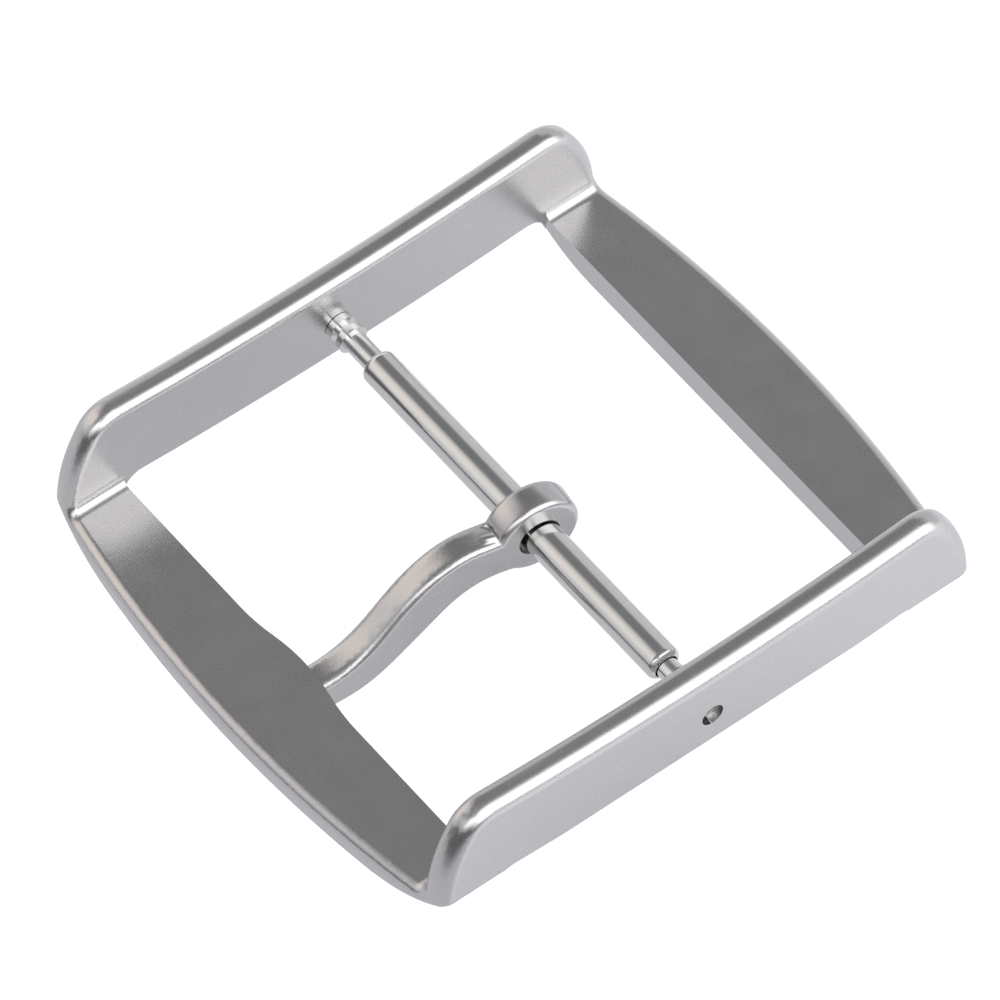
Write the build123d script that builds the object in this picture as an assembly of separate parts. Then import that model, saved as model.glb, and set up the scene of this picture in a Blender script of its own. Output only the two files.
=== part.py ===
"""A watch tang buckle for a 22 mm strap, held to the strap by a spring bar.

Millimetres. The origin is the middle of the spring bar's axis between the side walls. +X runs
along the strap, away from the tang's tip, +Y runs along the spring bar, and +Z points at the
wearer's skin, so the face that shows when the strap is worn looks along -Z.
"""
from build123d import *
import os

# Frame, seen from above
strap_gap = 22.0
wall_thickness = 1.22
frame_half_length = 13.96
end_bow_radius = 61.0
window_length = 20.55
bar_offset = 0.14

# Frame, seen from the side, as heights above and below the bar's axis
wall_crest = 2.66
wall_foot = 1.71
wall_bow_radius = 131.0
end_arc_radius = 7.7
end_arc_drop = 0.15
end_nose_radius = 1.60
crossbar_face = 1.52
crossbar_thickness = 1.42
underside_flat = 16.0
underside_rise = 1.42

# Frame, rounds and small features
outer_round = 0.60
inner_round = 0.45
crossbar_root_round = 0.45
window_rim_round = 0.10
window_root_round = 0.90
underside_round = 0.35
tang_rest_height = 0.36
tang_rest_width = 7.2
pin_hole_diameter = 1.00
pin_hole_chamfer = 0.07

# Spring bar tube
tube_diameter = 1.50
tube_bore = 1.26
tube_lip = 0.20
tube_end_round = 0.30

# Spring bar pins, from the head inside the tube out to the tip inside the side wall
head_length = 1.20
head_clearance = 0.055
head_rest_gap = 0.17
far_neck_shown = 1.38
near_neck_shown = 0.62
neck_diameter = 0.95
neck_clearance = 0.05
collar_length = 0.30
collar_diameter = 1.30
groove_length = 0.36
groove_diameter = 0.80
shoulder_length = 0.30
shoulder_diameter = 1.20
shoulder_rest_clearance = 0.02
tip_length = 0.85
tip_clearance = 0.05
tip_round = 0.20

# Coil spring inside the tube
wire_diameter = 0.16
coil_clearance = 0.06
coil_turns = 24
coil_end_clearance = 0.03

# Tang
eye_clearance = 0.15
eye_wall = 0.93
tang_width = 1.36
tang_side_shift = -1.02
tang_yaw = 7.0
tang_rest_clearance = 0.15
tang_tip_inset = 1.00
tang_tip_round = 0.40
tang_edge_round = 0.28

# How far a cut runs past what it cuts
overrun = 2.0

half_gap = strap_gap / 2
half_width = half_gap + wall_thickness
half_window = window_length / 2
underside = -crossbar_face - crossbar_thickness
mid_wall = (wall_crest - crossbar_face) / 2
reach = frame_half_length + overrun
ceiling = wall_crest + wall_thickness + overrun
floor = underside - overrun
touch = wall_thickness / 100
collar_place = half_gap - collar_length - groove_length - shoulder_length - shoulder_rest_clearance
neck_length = max(far_neck_shown, near_neck_shown) + tube_lip + head_rest_gap
head_place = collar_place - neck_length - head_length
tube_length = 2 * collar_place - far_neck_shown - near_neck_shown
tube_shift = (near_neck_shown - far_neck_shown) / 2


def near(value, target):
    """Whether two lengths are the same, give or take a hundredth of the wall."""
    return abs(value - target) < touch


def ends(edge):
    """The two ends and the middle of an edge."""
    return edge @ 0, edge @ 0.5, edge @ 1


def bowed_disc(level):
    """The side-view disc that rests on a level and whose rim is the bow of the side walls."""
    return Pos(0, level + wall_bow_radius) * Circle(wall_bow_radius)


def bowed_end(side):
    """What lies behind an end's surface, which bows as seen from above and arcs over its height."""
    hub = frame_half_length - end_bow_radius
    arc_centre = frame_half_length - end_arc_radius
    web = Pos((hub + arc_centre) / 2, 0) * Rectangle(arc_centre - hub, 2 * reach)
    rim = Pos(arc_centre, -crossbar_face - end_arc_drop) * Circle(end_arc_radius)
    band = Pos(0, (ceiling + floor) / 2) * Rectangle(2 * (reach - hub), ceiling - floor)
    wheel = revolve(Plane.XZ * ((web + rim) & band), Axis((hub, 0, 0), (0, 0, 1)))
    return wheel if side > 0 else Rot(0, 0, 180) * wheel


def wall_envelope():
    """The outline from above and from the side, with bowed crests and rounded noses."""
    height = ceiling - floor
    sides = Pos(0, 0, floor + height / 2) * Box(2 * reach, 2 * half_width, height)
    body = bowed_end(1) & bowed_end(-1) & sides
    body = body - extrude(Plane.XZ * bowed_disc(wall_crest), half_width + overrun, both=True)
    return rounded(body, end_nose_radius, is_nose)


def front_envelope():
    """The outline from the end, with an underside that rises towards both side faces."""
    flat = underside_flat / 2
    wide = half_width + overrun
    shoulder = underside + underside_rise
    rise = TangentArc((flat, underside), (half_width, shoulder), tangent=(1, 0))
    fall = TangentArc((-flat, underside), (-half_width, shoulder), tangent=(-1, 0))
    over = Polyline(rise @ 1, (wide, shoulder), (wide, ceiling), (-wide, ceiling), (-wide, shoulder), fall @ 1)
    face = make_face(rise + over + fall + Line(fall @ 0, rise @ 0))
    return extrude(Plane.YZ * face, reach, both=True)


def space_between_walls():
    """What is empty between the side walls, above the crossbars."""
    height = ceiling + crossbar_face
    return Pos(0, 0, ceiling - height / 2) * Box(2 * reach, strap_gap, height)


def space_under_walls():
    """What is empty between the crossbars, under the bowed foot of the side walls."""
    face = Rectangle(window_length, -2 * floor) - bowed_disc(-wall_foot)
    corners = face.vertices().filter_by(lambda corner: corner.Y > underside)
    face = fillet(corners, window_root_round)
    return extrude(Plane.XZ * face, half_width + overrun, both=True)


def tang_rest():
    """The gentle swelling of the tip crossbar's inner edge, over the tang."""
    half = tang_rest_width / 2
    start, foot = (0, -half), (0, half)
    turn_in, turn_out = (tang_rest_height / 2, -half / 2), (tang_rest_height / 2, half / 2)
    lead_in = TangentArc(start, turn_in, tangent=(0, 1))
    crown = ThreePointArc(turn_in, (tang_rest_height, 0), turn_out)
    lead_out = TangentArc(foot, turn_out, tangent=(0, -1))
    face = make_face(lead_in + crown + lead_out + Line(foot, start))
    return Pos(-half_window, 0, underside) * extrude(face, crossbar_thickness)


def rounded(solid, radius, chosen):
    """The solid with one round on every edge that the test chooses."""
    return solid.fillet(radius, solid.edges().filter_by(chosen))


def is_nose(edge):
    """Where the crest meets an end."""
    start, middle, end = ends(edge)
    return middle.Z > mid_wall and not near(start.Y, end.Y)


def is_root(edge):
    """Where a crossbar's face meets the inside of a side wall."""
    middle = edge @ 0.5
    return near(abs(middle.Y), half_gap) and near(middle.Z, -crossbar_face)


def is_beyond_window(edge):
    """Whether an edge lies outside the window's ends."""
    return all(abs(point.X) > half_window + touch for point in ends(edge))


def is_inner_rim(edge):
    """The rim that runs along a crossbar's outside and up over the insides of the walls."""
    start, middle, end = ends(edge)
    on_wall = all(near(abs(point.Y), half_gap) for point in (start, middle, end))
    if middle.Z > mid_wall:
        return on_wall
    above = middle.Z > -crossbar_face - touch
    level = near(start.Z, end.Z) and not near(middle.Y, 0)
    return is_beyond_window(edge) and above and not level and (on_wall or not near(start.Y, end.Y))


def is_outer_rim(edge):
    """The rim that runs over the outside of a wall and down the frame's corners."""
    start, middle, end = ends(edge)
    on_wall = all(near(abs(point.Y), half_width) for point in (start, middle, end))
    upright = is_beyond_window(edge) and not near(start.Z, end.Z)
    return on_wall and (middle.Z > mid_wall or upright)


def is_underside_rim(edge):
    """A crossbar's outer rim on the underside."""
    middle = edge @ 0.5
    return near(middle.Y, 0) and near(middle.Z, underside) and is_beyond_window(edge)


def is_window_rim(edge, level):
    """A crossbar's inner rim at a level."""
    start, middle, end = ends(edge)
    inside = half_window - tang_rest_height - touch < abs(middle.X) < half_window + touch
    return inside and near(middle.Z, level) and not near(start.Y, end.Y)


def pin_holes():
    """Both side walls' holes for the spring bar's tips, chamfered outside."""
    radius = pin_hole_diameter / 2
    hole = Cylinder(radius, 2 * half_width)
    hole = hole + Pos(0, 0, half_width) * chamfer_cone(radius)
    hole = hole + Rot(180, 0, 0) * Pos(0, 0, half_width) * chamfer_cone(radius)
    return Pos(bar_offset, 0, 0) * Rot(90, 0, 0) * hole


def chamfer_cone(radius):
    """What a chamfer takes away at a hole's mouth, centred on the mouth's plane."""
    return Cone(radius - pin_hole_chamfer, radius + pin_hole_chamfer, 2 * pin_hole_chamfer)


def make_buckle_frame():
    """The frame in one piece: two side walls that stand on two crossbars."""
    body = wall_envelope() & front_envelope()
    body = body - space_between_walls() - space_under_walls()
    body = body - Box(window_length, strap_gap, 2 * (ceiling - floor))
    body = (body + tang_rest() - pin_holes()).solids()[0]
    body = rounded(body, crossbar_root_round, is_root)
    body = rounded(body, inner_round, is_inner_rim)
    body = rounded(body, outer_round, is_outer_rim)
    body = rounded(body, underside_round, is_underside_rim)
    body = rounded(body, window_rim_round, lambda edge: is_window_rim(edge, underside))
    return Pos(-bar_offset, 0, 0) * body


def turned(profile):
    """A solid of revolution about the spring bar's axis, from points (radius, place along it)."""
    return revolve(make_face(Polyline(*profile, close=True)), Axis.Y)


def make_tube():
    """The spring bar's tube, its ends rolled in to keep the pins."""
    half = tube_length / 2
    outer = Cylinder(tube_diameter / 2, tube_length)
    outer = fillet(outer.edges(), tube_end_round)
    bore = Cylinder(tube_bore / 2, tube_length - 2 * tube_lip)
    mouths = Cylinder(neck_diameter / 2 + neck_clearance, 2 * half + overrun)
    return Pos(0, tube_shift, 0) * Rot(90, 0, 0) * (outer - bore - mouths)


def make_pin(side):
    """A turned pin, its shoulder resting on a side wall: side is 1 for +Y and -1 for -Y."""
    steps = [
        (tube_bore / 2 - head_clearance, head_length),
        (neck_diameter / 2, neck_length),
        (collar_diameter / 2, collar_length),
        (groove_diameter / 2, groove_length),
        (shoulder_diameter / 2, shoulder_length),
        (pin_hole_diameter / 2 - tip_clearance, tip_length),
    ]
    place = head_place
    profile = [(0, place)]
    for radius, length in steps:
        profile.append((radius, place))
        place += length
        profile.append((radius, place))
    profile.append((0, place))
    pin = turned(profile)
    tip_edge = pin.edges().sort_by(Axis.Y)[-1]
    pin = fillet(tip_edge, tip_round)
    return pin if side > 0 else Rot(0, 0, 180) * pin


def make_coil():
    """The compression spring between the two pins' heads."""
    inset = wire_diameter / 2 + coil_end_clearance
    length = 2 * (head_place - inset)
    radius = tube_bore / 2 - coil_clearance - wire_diameter / 2
    path = Helix(length / coil_turns, length, radius)
    wire = sweep(Plane(path @ 0, z_dir=path % 0) * Circle(wire_diameter / 2), path)
    return Pos(0, -length / 2, 0) * Rot(-90, 0, 0) * wire


def make_tang():
    """The tang: an eye on the spring bar and an arm that dips to the tip crossbar's outer face."""
    bore = tube_diameter / 2 + eye_clearance
    eye = Circle(bore + eye_wall)
    tip = frame_half_length + bar_offset - tang_tip_inset
    dip = tang_rest_clearance - underside
    upper_shares = [(0.060, -0.210), (0.130, -0.235), (0.245, -0.285), (0.337, -0.178), (0.440, 0.117),
                    (0.531, 0.511), (0.621, 0.825), (0.734, 0.985), (0.850, 1.0), (1.0, 1.0)]
    lower_shares = [(1.0, 1.33), (0.850, 1.455), (0.700, 1.500), (0.577, 1.400), (0.463, 1.105),
                    (0.349, 0.730), (0.247, 0.460), (0.160, 0.410), (0.100, 0.450), (0.040, 0.530)]
    upper = Spline(*[(-tip * x, -dip * z) for x, z in upper_shares])
    lower = Spline(*[(-tip * x, -dip * z) for x, z in lower_shares])
    arm = make_face(upper + Line(upper @ 1, lower @ 0) + lower + Line(lower @ 1, upper @ 0))
    arm = fillet(arm.vertices().filter_by(lambda corner: near(corner.X, -tip)), tang_tip_round)
    body = extrude(Plane.XZ * (eye + arm), tang_width / 2, both=True)
    rims = body.edges().filter_by(lambda edge: near(abs((edge @ 0.5).Y), tang_width / 2))
    body = fillet(rims, tang_edge_round)
    body = body - Rot(90, 0, 0) * Cylinder(bore, tang_width + overrun)
    return Pos(0, tang_side_shift, 0) * Rot(0, 0, -tang_yaw) * body


parts = {
    "buckle_frame": make_buckle_frame,
    "tang": make_tang,
    "spring_bar_tube": make_tube,
    "spring_bar_pin_far": lambda: make_pin(1),
    "spring_bar_pin_near": lambda: make_pin(-1),
    "coil_spring": make_coil,
}

os.makedirs("parts", exist_ok=True)
for name, make in parts.items():
    export_step(make(), f"parts/{name}.step")
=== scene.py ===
"""The looks of a watch tang buckle, put on its packed CAD model.

Everything is in metres in the CAD model's frame. The origin is the middle of the spring bar's
axis, +X runs along the strap, +Y along the spring bar and +Z towards the wearer's skin.
"""

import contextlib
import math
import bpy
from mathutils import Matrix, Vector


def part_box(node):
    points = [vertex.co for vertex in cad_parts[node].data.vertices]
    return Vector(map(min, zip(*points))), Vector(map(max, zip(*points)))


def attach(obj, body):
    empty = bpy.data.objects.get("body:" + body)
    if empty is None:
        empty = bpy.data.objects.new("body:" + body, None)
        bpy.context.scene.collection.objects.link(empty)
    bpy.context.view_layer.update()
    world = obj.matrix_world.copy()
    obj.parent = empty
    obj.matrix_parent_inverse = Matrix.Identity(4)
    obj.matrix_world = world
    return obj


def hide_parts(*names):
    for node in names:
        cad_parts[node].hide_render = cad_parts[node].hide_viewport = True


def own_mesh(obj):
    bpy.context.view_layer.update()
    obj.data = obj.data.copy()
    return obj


bl_info = {
    "name": "Watch tang buckle",
    "version": (1, 0, 0),
    "blender": (4, 5, 0),
    "location": "View3D > Sidebar > Buckle",
    "description": "Steel finishes, camera and studio for a watch tang buckle",
    "category": "Object",
}

import typing

import bpy
from mathutils import Matrix, Vector

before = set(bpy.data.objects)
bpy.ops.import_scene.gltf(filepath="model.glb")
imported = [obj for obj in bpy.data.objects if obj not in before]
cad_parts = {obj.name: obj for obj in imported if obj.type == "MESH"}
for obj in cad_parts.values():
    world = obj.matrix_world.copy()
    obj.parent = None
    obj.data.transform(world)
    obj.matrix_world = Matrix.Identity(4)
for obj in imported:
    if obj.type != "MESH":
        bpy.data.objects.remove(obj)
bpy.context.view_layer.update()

MM = 0.001

# The camera, as azimuth, elevation and roll in degrees about a point of the frame
CAMERA_AZIMUTH = -37.995
CAMERA_ELEVATION = 54.484
CAMERA_ROLL = 0.057
CAMERA_DISTANCE = 600 * MM
CAMERA_TARGET = Vector((-0.36, 0, 0.88)) * MM
CAMERA_SENSOR = 36.0
CAMERA_LENS = 566.8
CAMERA_SHIFT = (-0.0065, -0.0012)
CAMERA_CLIP = 10 * MM

# How far under the spring bar the floor lies, and how far it reaches each way
FLOOR_DROP = 45.0 * MM
FLOOR_REACH = 4.0

# The grey that the floor is made of, and the tint of the light that it adds
FLOOR_CARD = (0.5, 0.5, 0.5)
FLOOR_GLOW = (0.985, 0.985, 1.04)

# Every edge from here on is soft: none at its first number and all at its second. On the floor it
# is a distance along X, along -Y or along a heading
FLOOR_RIGHT_EDGE = (10 * MM, 50 * MM)
FLOOR_NEAR_EDGE = (26 * MM, 46 * MM)
FLOOR_NEAR_LEFT_EDGE = (-25 * MM, 10 * MM)
FLOOR_FRONT_HEADING = Vector((-0.77, -0.64, 0))
FLOOR_FRONT_EDGE = (85 * MM, 160 * MM)

# The dark oval under the buckle, which is narrower along Y
SHADOW_MIDDLE = (15 * MM, -28 * MM)
SHADOW_NARROWING = 1.6
SHADOW_EDGE = (3 * MM, 13 * MM)

# The world's edges are parts of a direction, or angles
CALM_COLOUR = (0.98, 0.985, 1.015)
CEILING_EDGE = (0.56, 0.76)
FRONT_HEADING = Vector((-0.866, -0.5, 0))
FRONT_EDGE = (0.60, 0.85)
FRONT_TOP_EDGE = (0.0, 0.6)
LENS_EDGE = (math.radians(13), math.radians(5))
WARM_LONGITUDE = math.radians(-148)
WARM_LATITUDE = math.radians(30)
WARM_EDGE = (math.radians(36), math.radians(12))
SIDE_TOP_EDGE = (math.radians(8), math.radians(36))
SIDE_BOTTOM_EDGE = (math.radians(78), math.radians(104))
SIDE_RIGHT_EDGE = (0.70, 0.95)

# How a CAD mesh is cleaned: what counts as one point, as one flat face and as a sharp edge
MERGE_DISTANCE = 0.0005 * MM
FLAT_ANGLE = math.radians(0.05)
SHARP_ANGLE = math.radians(38)

# A Mix node has sockets for each type of value. These are the two colours and their mix
MIX_FIRST, MIX_SECOND, MIX_RESULT = 6, 7, 2
NOISE_MIDDLE = 0.5

# The brighter flecks in blasted steel: their size in pits, where in the noise they start, how
# sharply they do so, how much they show and how bright they are
FLECK_SIZE = 2.2
FLECK_START = 0.66
FLECK_SHARPNESS = 9.0
FLECK_SHARE = 0.35
FLECK_SHADE = 1.2


class Grain(typing.NamedTuple):
    """How the marks and the patches of a kind of steel change its tone and its roughness.

    The marks are noise, stretched along the axes, with finer layers that are more or less harsh.
    """

    stretch: tuple
    layers: float
    harshness: float
    mark_tone: float
    patch_tone: float
    darkest: float
    lightest: float
    mark_roughness: float
    patch_roughness: float


BLASTED = Grain(
    stretch=(1, 1, 1),
    layers=3.0,
    harshness=0.65,
    mark_tone=0.5,
    patch_tone=0.35,
    darkest=0.89,
    lightest=1.08,
    mark_roughness=0.12,
    patch_roughness=0.06,
)
# Drawn steel's lines run along Y, turned steel's run round it and coiled wire's are in between
DRAWN = Grain(
    stretch=(1, 0.03, 1),
    layers=4.0,
    harshness=0.7,
    mark_tone=0.8,
    patch_tone=0.4,
    darkest=0.88,
    lightest=1.06,
    mark_roughness=0.14,
    patch_roughness=0.08,
)
TURNED = DRAWN._replace(stretch=(0.05, 1, 0.05))
COILED = DRAWN._replace(stretch=(1, 0.4, 1))


class Number:
    """A number in a material's nodes. Python's operators on it add Math nodes."""

    def __init__(self, graph, socket):
        self.graph = graph
        self.socket = socket

    def maths(self, operation, *operands):
        sockets = dict(enumerate(operands))
        node = self.graph.add("ShaderNodeMath", {"operation": operation}, sockets)
        return Number(self.graph, node.outputs[0])

    def __add__(self, other):
        return self.maths("ADD", self, other)

    def __radd__(self, other):
        return self.maths("ADD", other, self)

    def __sub__(self, other):
        return self.maths("SUBTRACT", self, other)

    def __rsub__(self, other):
        return self.maths("SUBTRACT", other, self)

    def __mul__(self, other):
        return self.maths("MULTIPLY", self, other)

    def __rmul__(self, other):
        return self.maths("MULTIPLY", other, self)

    def clipped(self):
        return self.maths("MAXIMUM", self.maths("MINIMUM", self, 1.0), 0.0)

    def between(self, low, high):
        """0 up to low, 1 from high on, and a smooth step in between."""
        settings = {"interpolation_type": "SMOOTHSTEP"}
        sockets = {"Value": self, "From Min": low, "From Max": high}
        node = self.graph.add("ShaderNodeMapRange", settings, sockets)
        return Number(self.graph, node.outputs[0])


class Graph:
    """The nodes of a material or of the world. Every node comes from add."""

    def __init__(self, owner):
        owner.use_nodes = True
        self.tree = owner.node_tree
        self.tree.nodes.clear()

    def add(self, kind, settings=None, sockets=None):
        """A node of a kind, with its settings made first and then its sockets filled or linked."""
        node = self.tree.nodes.new(kind)
        for name, value in (settings or {}).items():
            setattr(node, name, value)
        for name, value in (sockets or {}).items():
            self.fill(node.inputs[name], value)
        return node

    def fill(self, socket, value):
        if isinstance(value, Number):
            value = value.socket
        if isinstance(value, bpy.types.NodeSocket):
            self.tree.links.new(value, socket)
        else:
            socket.default_value = value

    def axes(self, output):
        """A point's distance along each axis, or in the world the three parts of a direction."""
        point = self.add("ShaderNodeTexCoord").outputs[output]
        split = self.add("ShaderNodeSeparateXYZ", {}, {"Vector": point})
        return [Number(self, split.outputs[letter]) for letter in "XYZ"]

    def noise(self, size, stretch=(1, 1, 1), layers=2.0, harshness=0.5):
        """Noise from 0 to 1 whose marks are about a size across, in metres, on the piece."""
        point = self.add("ShaderNodeTexCoord").outputs["Object"]
        mapping = self.add("ShaderNodeMapping", {}, {"Vector": point, "Scale": stretch})
        sockets = {
            "Vector": mapping.outputs["Vector"],
            "Scale": 1 / size,
            "Detail": layers,
            "Roughness": harshness,
        }
        return Number(self, self.add("ShaderNodeTexNoise", {}, sockets).outputs[0])

    def mix_colour(self, factor, first, second):
        sockets = {"Factor": factor, MIX_FIRST: first, MIX_SECOND: second}
        return self.add("ShaderNodeMix", {"data_type": "RGBA"}, sockets).outputs[MIX_RESULT]

    def bump(self, height, distance):
        sockets = {"Height": height, "Distance": distance, "Strength": 1.0}
        return self.add("ShaderNodeBump", {}, sockets).outputs["Normal"]


def shade(colour, factor=1.0):
    """A colour made lighter or darker, with its alpha."""
    return tuple(channel * factor for channel in colour) + (1.0,)


def grained_steel(name, finish, grain, flecked=False):
    """Bare steel with fine marks and softer patches, and flecks where it is blasted."""
    material = bpy.data.materials.new(name)
    graph = Graph(material)
    marks = graph.noise(finish.grain_size, grain.stretch, grain.layers, grain.harshness)
    mark_swing = marks - NOISE_MIDDLE
    patch_swing = graph.noise(finish.patch_size) - NOISE_MIDDLE
    tone = mark_swing * grain.mark_tone + patch_swing * grain.patch_tone + NOISE_MIDDLE
    dark, light = shade(finish.colour, grain.darkest), shade(finish.colour, grain.lightest)
    colour = graph.mix_colour(tone.clipped(), dark, light)
    if flecked:
        flecks = graph.noise(finish.grain_size * FLECK_SIZE, layers=1.0)
        flecks = ((flecks - FLECK_START) * FLECK_SHARPNESS).clipped()
        colour = graph.mix_colour(flecks * FLECK_SHARE, colour, shade(finish.colour, FLECK_SHADE))
    marked = mark_swing * grain.mark_roughness
    patched = patch_swing * grain.patch_roughness
    sockets = {
        "Base Color": colour,
        "Metallic": 1.0,
        "Roughness": finish.roughness + marked + patched,
        "Normal": graph.bump(marks, finish.grain_depth),
    }
    shader = graph.add("ShaderNodeBsdfPrincipled", {}, sockets)
    graph.add("ShaderNodeOutputMaterial", {}, {"Surface": shader.outputs[0]})
    return material


@contextlib.contextmanager
def edited(piece):
    """Edit mode on one piece alone, with its whole mesh selected."""
    bpy.ops.object.select_all(action="DESELECT")
    piece.select_set(True)
    bpy.context.view_layer.objects.active = piece
    bpy.ops.object.mode_set(mode="EDIT")
    bpy.ops.mesh.select_all(action="SELECT")
    yield
    bpy.ops.object.mode_set(mode="OBJECT")


def smooth_piece(node, name, body, material):
    """A merged copy of a CAD node's mesh, shaded smooth, that stands for the node."""
    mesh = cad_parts[node].data.copy()
    mesh.name = name
    mesh.materials.clear()
    mesh.materials.append(material)
    piece = bpy.data.objects.new(name, mesh)
    bpy.context.scene.collection.objects.link(piece)
    with edited(piece):
        bpy.ops.mesh.remove_doubles(threshold=MERGE_DISTANCE)
        bpy.ops.mesh.dissolve_limited(angle_limit=FLAT_ANGLE, delimit=set())
        bpy.ops.mesh.faces_shade_smooth()
        bpy.ops.mesh.select_all(action="DESELECT")
        bpy.ops.mesh.edges_select_sharp(sharpness=SHARP_ANGLE)
        bpy.ops.mesh.mark_sharp()
    bpy.ops.object.modifier_add(type="WEIGHTED_NORMAL")
    modifier = piece.modifiers[-1]
    modifier.mode = "FACE_AREA"
    modifier.keep_sharp = True
    bpy.ops.object.modifier_apply(modifier=modifier.name)
    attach(piece, body)
    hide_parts(node)
    return piece


def cut_across(piece, level, side):
    """Keeps what lies on one side of a plane across Y, and closes the cut."""
    with edited(piece):
        bpy.ops.mesh.bisect(
            plane_co=(0, level, 0), plane_no=(0, -side, 0), use_fill=True, clear_outer=True
        )


def colour_property(name, description, default):
    return bpy.props.FloatVectorProperty(
        name=name, description=description, subtype="COLOR", min=0, max=1, default=default
    )


def length_property(name, description, default):
    return bpy.props.FloatProperty(
        name=name,
        description=description,
        default=default,
        min=0,
        unit="LENGTH",
        subtype="DISTANCE",
        precision=6,
    )


def share_property(name, description, default):
    return bpy.props.FloatProperty(
        name=name, description=description, subtype="FACTOR", min=0, max=1, default=default
    )


def brightness_property(name, description, default):
    return bpy.props.FloatProperty(name=name, description=description, default=default, min=0)


def finish_properties(colour, roughness, grain_size, grain_depth, patch_size):
    """The bpy.props that every steel finish shares, with their defaults."""
    return {
        "colour": colour_property("Colour", "The steel's colour", colour),
        "roughness": share_property("Roughness", "How dull the steel is", roughness),
        "grain_size": length_property("Grain size", "Width of the pits or lines", grain_size),
        "grain_depth": length_property("Grain depth", "Depth of the pits or lines", grain_depth),
        "patch_size": length_property("Patch size", "Width of the soft patches", patch_size),
    }


class BuckleFrameFinish(bpy.types.PropertyGroup):
    """The blasted steel of the frame."""

    __annotations__ = finish_properties(
        colour=(0.612, 0.60, 0.597),
        roughness=0.27,
        grain_size=0.08 * MM,
        grain_depth=0.003 * MM,
        patch_size=1.6 * MM,
    )


class BuckleTangFinish(bpy.types.PropertyGroup):
    """The blasted steel of the tang."""

    __annotations__ = finish_properties(
        # Darker than the frame's steel: painted shade, for the darker floor that the tang mirrors
        colour=(0.58, 0.568, 0.565),
        roughness=0.25,
        grain_size=0.08 * MM,
        grain_depth=0.005 * MM,
        patch_size=1.2 * MM,
    )


class BuckleTubeFinish(bpy.types.PropertyGroup):
    """The drawn steel of the spring bar's tube."""

    __annotations__ = finish_properties(
        colour=(0.70, 0.70, 0.69),
        roughness=0.13,
        grain_size=0.05 * MM,
        grain_depth=0.0012 * MM,
        patch_size=1.0 * MM,
    )


class BucklePinFinish(bpy.types.PropertyGroup):
    """The turned steel of the spring bar's pins."""

    __annotations__ = finish_properties(
        colour=(0.74, 0.74, 0.73),
        roughness=0.12,
        grain_size=0.04 * MM,
        grain_depth=0.001 * MM,
        patch_size=0.5 * MM,
    )


class BuckleSpring(bpy.types.PropertyGroup):
    """The drawn wire of the coil spring, and how far the pins push it in, which is read but changes
    nothing.
    """

    __annotations__ = {
        **finish_properties(
            colour=(0.45, 0.45, 0.46),
            roughness=0.25,
            grain_size=0.03 * MM,
            grain_depth=0.0008 * MM,
            patch_size=0.5 * MM,
        ),
        "far_pin_retract": length_property(
            "Far travel", "How far the far pin pushes the spring in", 1.2 * MM
        ),
        "near_pin_retract": length_property(
            "Near travel", "How far the near pin pushes the spring in", 0.5 * MM
        ),
    }


class BuckleStudio(bpy.types.PropertyGroup):
    """The light in the studio, as the steel mirrors it."""

    walls: brightness_property("Walls", "Brightness of the pale walls", 0.72)
    ceiling: brightness_property("Ceiling", "Brightness of the darker ceiling", 0.31)
    ceiling_fall: brightness_property(
        "Ceiling fall", "How much darker the ceiling gets towards the far wall", 0.14
    )
    front: brightness_property("Front", "Brightness of the dark front under the camera", 0.10)
    lens: brightness_property("Lens", "Brightness of the camera itself", 0.25)
    side_light: brightness_property(
        "Side light", "Brightness of the long light past the near wall", 2.1
    )
    side_colour: colour_property("Side colour", "Colour of the long light", (0.98, 0.99, 1.0))
    warm_light: brightness_property(
        "Warm light", "Brightness of the warm light past the tang's tip", 1.12
    )
    warm_colour: colour_property("Warm colour", "Colour of the warm light", (1.0, 0.92, 0.86))
    backdrop: brightness_property(
        "Backdrop", "Brightness of the floor to the camera, before the studio lights it", 0.62
    )
    floor_tone: brightness_property("Floor tone", "Brightness of the floor", 0.71)
    floor_right: brightness_property(
        "Floor on the right", "Brightness of the floor past the strap's crossbar", 0.95
    )
    floor_near: brightness_property(
        "Near floor", "Brightness of the floor past the near wall", 1.12
    )
    floor_shadow: brightness_property(
        "Floor shadow", "How much darker the floor is under the buckle", 0.38
    )


class BUCKLE_OT_studio(bpy.types.Operator):
    """Adds the camera, the floor and the light around the buckle"""

    bl_idname = "buckle.studio"
    bl_label = "Studio"

    def execute(self, context):
        studio = context.scene.buckle_studio
        add_camera(context)
        add_floor(context, studio)
        add_world(context, studio)
        return {"FINISHED"}


def heading(longitude, latitude):
    """A direction, by the angles round from -Y towards +X and up."""
    level = math.cos(latitude)
    across, along = math.sin(longitude) * level, -math.cos(longitude) * level
    return Vector((across, along, math.sin(latitude)))


def camera_back():
    """The direction from the buckle to the camera."""
    return heading(math.radians(CAMERA_AZIMUTH), math.radians(CAMERA_ELEVATION))


def add_camera(context):
    """The camera at the photograph's angle, which looks along -Z of its own axes."""
    azimuth = math.radians(CAMERA_AZIMUTH)
    back = camera_back()
    right = Vector((math.cos(azimuth), math.sin(azimuth), 0))
    up = back.cross(right)
    turn = Matrix((right, up, back)).transposed()
    roll = Matrix.Rotation(math.radians(CAMERA_ROLL), 3, back)
    place = Matrix.Translation(CAMERA_TARGET + back * CAMERA_DISTANCE)
    bpy.ops.object.camera_add()
    camera = context.object
    camera.name = "camera"
    camera.matrix_world = place @ (roll @ turn).to_4x4()
    camera.data.sensor_width = CAMERA_SENSOR
    camera.data.lens = CAMERA_LENS
    camera.data.shift_x, camera.data.shift_y = CAMERA_SHIFT
    camera.data.clip_start = CAMERA_CLIP
    context.scene.camera = camera


def towards(parts, direction):
    """How far a point or direction, given by its parts, goes along another direction."""
    return parts[0] * direction.x + parts[1] * direction.y + parts[2] * direction.z


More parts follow.
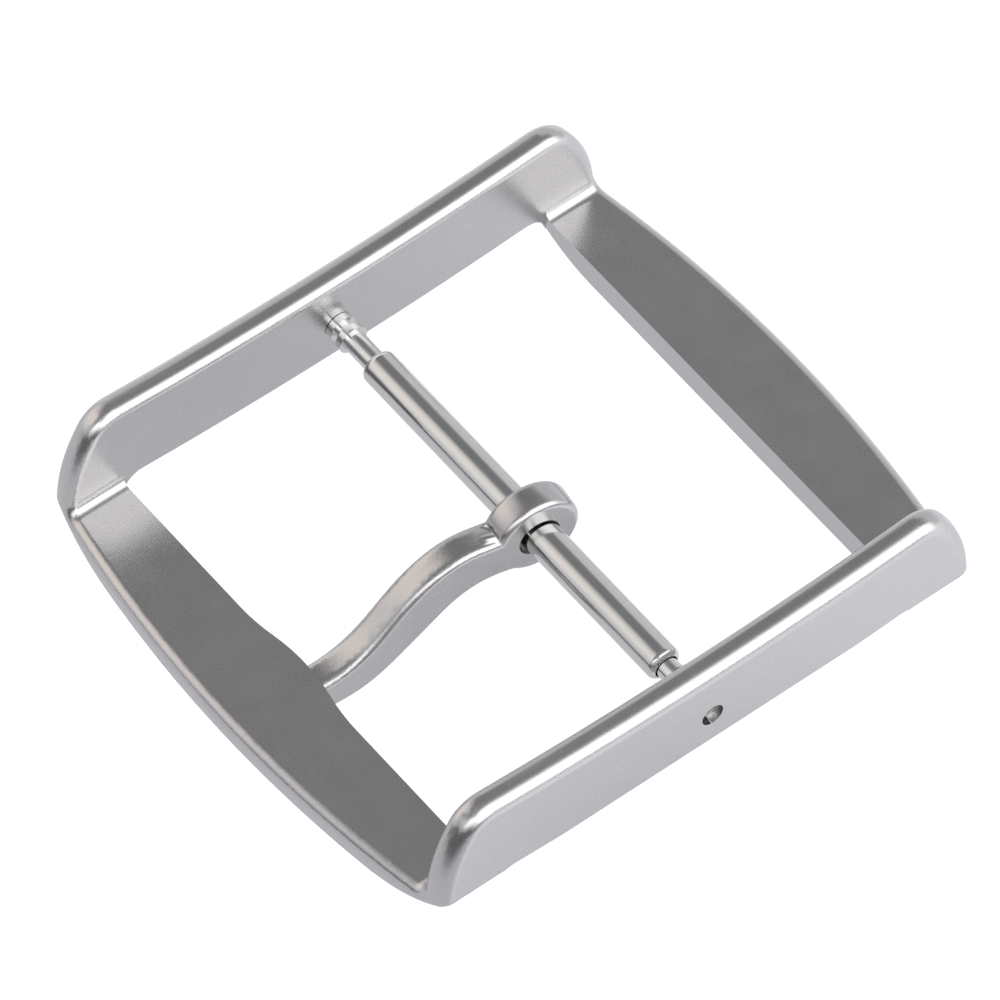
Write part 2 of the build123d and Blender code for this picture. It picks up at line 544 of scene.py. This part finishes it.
def spot(parts, direction, edge):
    """A round light: 0 beyond one angle from its direction and 1 within another."""
    outer, inner = (math.cos(angle) for angle in edge)
    return towards(parts, direction).between(outer, inner)


def floor_in_steel(parts, studio):
    """How bright the steel mirrors each place on the floor.

    It is brighter on the right and past the near wall, and darker under the buckle and in front
    of the camera.
    """
    x, y, z = parts
    right = x.between(*FLOOR_RIGHT_EDGE)
    near = (y * -1).between(*FLOOR_NEAR_EDGE) * x.between(*FLOOR_NEAR_LEFT_EDGE)
    front = towards(parts, FLOOR_FRONT_HEADING).between(*FLOOR_FRONT_EDGE)
    across = x - SHADOW_MIDDLE[0]
    along = (y - SHADOW_MIDDLE[1]) * SHADOW_NARROWING
    start, end = SHADOW_EDGE
    shadow = 1 - (across * across + along * along).between(start**2, end**2)
    tone = studio.floor_tone + right * (studio.floor_right - studio.floor_tone)
    tone = tone + near * (studio.floor_near - tone)
    tone = tone - shadow * studio.floor_shadow
    return tone + front * (studio.front - tone)


def add_floor(context, studio):
    """A pale floor, white behind the buckle, that keeps the buckle's shadow."""
    bpy.ops.mesh.primitive_plane_add(size=2 * FLOOR_REACH, location=(0, 0, -FLOOR_DROP))
    floor = context.object
    floor.name = "floor"
    material = bpy.data.materials.new("pale_floor")
    graph = Graph(material)
    path = graph.add("ShaderNodeLightPath").outputs
    camera = Number(graph, path["Is Camera Ray"])
    mirrored = Number(graph, path["Is Glossy Ray"])
    through = Number(graph, path["Is Transmission Ray"])
    tone = floor_in_steel(graph.axes("Object"), studio)
    strength = camera * studio.backdrop + mirrored * tone + through
    card = graph.add("ShaderNodeBsdfDiffuse", {}, {"Color": shade(FLOOR_CARD)})
    lamp = {"Color": shade(FLOOR_GLOW), "Strength": strength}
    glow = graph.add("ShaderNodeEmission", {}, lamp)
    plain = graph.add("ShaderNodeMixShader", {}, {0: mirrored, 1: card.outputs[0]})
    both = graph.add("ShaderNodeAddShader", {}, {0: plain.outputs[0], 1: glow.outputs[0]})
    graph.add("ShaderNodeOutputMaterial", {}, {"Surface": both.outputs[0]})
    floor.data.materials.append(material)


def add_world(context, studio):
    """A soft studio: pale walls, a darker ceiling and front, a long side light and a warm light."""
    world = bpy.data.worlds.new("studio_world")
    context.scene.world = world
    graph = Graph(world)
    parts = graph.axes("Generated")
    x, y, z = parts
    lean = z.maths("ARCTAN2", y * -1, z)
    ceiling = studio.ceiling - y * studio.ceiling_fall
    front = towards(parts, FRONT_HEADING).between(*FRONT_EDGE)
    front = front * (1 - z.between(*FRONT_TOP_EDGE))
    lens = spot(parts, camera_back(), LENS_EDGE)
    warm = spot(parts, heading(WARM_LONGITUDE, WARM_LATITUDE), WARM_EDGE)
    side = lean.between(*SIDE_TOP_EDGE) - lean.between(*SIDE_BOTTOM_EDGE)
    side = side * (1 - x.between(*SIDE_RIGHT_EDGE))
    light = studio.walls + z.between(*CEILING_EDGE) * (ceiling - studio.walls)
    light = light + side * (studio.side_light - light)
    light = light + warm * (studio.warm_light - light)
    light = light + front * (studio.front - light)
    light = light + lens * (studio.lens - light)
    tint = graph.mix_colour(warm, shade(studio.side_colour), shade(studio.warm_colour))
    colour = graph.mix_colour((warm + side).clipped(), shade(CALM_COLOUR), tint)
    sky = graph.add("ShaderNodeBackground", {}, {"Color": colour, "Strength": light})
    graph.add("ShaderNodeOutputWorld", {}, {"Surface": sky.outputs[0]})


class BUCKLE_OT_frame(bpy.types.Operator):
    """Dresses the buckle's frame in blasted steel"""

    bl_idname = "buckle.frame"
    bl_label = "Frame"

    def execute(self, context):
        finish = context.scene.buckle_frame_finish
        steel = grained_steel("frame_blasted_steel", finish, BLASTED, flecked=True)
        smooth_piece("buckle_frame", "frame", "frame", steel)
        return {"FINISHED"}


class BUCKLE_OT_tang(bpy.types.Operator):
    """Dresses the tang in blasted steel"""

    bl_idname = "buckle.tang"
    bl_label = "Tang"

    def execute(self, context):
        finish = context.scene.buckle_tang_finish
        steel = grained_steel("tang_blasted_steel", finish, BLASTED, flecked=True)
        smooth_piece("tang", "tang_pin", "tang", steel)
        return {"FINISHED"}


class BUCKLE_OT_spring_bar(bpy.types.Operator):
    """Dresses the spring bar's tube, pins and coil spring in bright steel"""

    bl_idname = "buckle.spring_bar"
    bl_label = "Spring bar"

    def execute(self, context):
        scene = context.scene
        spring = scene.buckle_spring
        drawn = grained_steel("tube_drawn_steel", scene.buckle_tube_finish, DRAWN)
        turned = grained_steel("pin_turned_steel", scene.buckle_pin_finish, TURNED)
        wire = grained_steel("spring_wire_steel", spring, COILED)
        smooth_piece("spring_bar_tube", "bar_tube", "spring_bar", drawn)
        smooth_piece("spring_bar_pin_far", "bar_pin_far", "far_pin", turned)
        smooth_piece("spring_bar_pin_near", "bar_pin_near", "near_pin", turned)
        low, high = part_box("coil_spring")
        middle = (low[1] + high[1]) / 2
        reach = (high[1] - low[1]) / 2
        halves = (
            ("bar_coil_far", "far_pin_retract", 1),
            ("bar_coil_near", "near_pin_retract", -1),
        )
        for name, joint, side in halves:
            half = smooth_piece("coil_spring", name, "spring_bar", wire)
            cut_across(half, middle, side)
            travel = getattr(spring, joint)
            1 - travel / reach
            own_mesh(half)
        return {"FINISHED"}


class BUCKLE_PT_panel(bpy.types.Panel):
    """Lists the buckle's pieces and finishes in the sidebar"""

    bl_idname = "BUCKLE_PT_panel"
    bl_label = "Watch tang buckle"
    bl_space_type = "VIEW_3D"
    bl_region_type = "UI"
    bl_category = "Buckle"

    def draw(self, context):
        for operator in OPERATORS:
            self.layout.operator(operator.bl_idname)
        for name, group in SETTINGS.items():
            box = self.layout.box()
            box.label(text=group.__doc__)
            settings = getattr(context.scene, name)
            for field in group.__annotations__:
                box.prop(settings, field)


SETTINGS = {
    "buckle_studio": BuckleStudio,
    "buckle_frame_finish": BuckleFrameFinish,
    "buckle_tang_finish": BuckleTangFinish,
    "buckle_tube_finish": BuckleTubeFinish,
    "buckle_pin_finish": BucklePinFinish,
    "buckle_spring": BuckleSpring,
}
OPERATORS = (BUCKLE_OT_studio, BUCKLE_OT_frame, BUCKLE_OT_tang, BUCKLE_OT_spring_bar)


def register():
    for group in SETTINGS.values():
        bpy.utils.register_class(group)
    for operator in OPERATORS:
        bpy.utils.register_class(operator)
    bpy.utils.register_class(BUCKLE_PT_panel)
    for name, group in SETTINGS.items():
        setattr(bpy.types.Scene, name, bpy.props.PointerProperty(type=group))


def unregister():
    for name in SETTINGS:
        delattr(bpy.types.Scene, name)
    bpy.utils.unregister_class(BUCKLE_PT_panel)
    for operator in reversed(OPERATORS):
        bpy.utils.unregister_class(operator)
    for group in reversed(SETTINGS.values()):
        bpy.utils.unregister_class(group)


def main():
    register()
    bpy.context.scene.view_settings.view_transform = "Standard"
    bpy.ops.buckle.studio()
    bpy.ops.buckle.frame()
    bpy.ops.buckle.tang()
    bpy.ops.buckle.spring_bar()


if __name__ == "__main__":
    main()
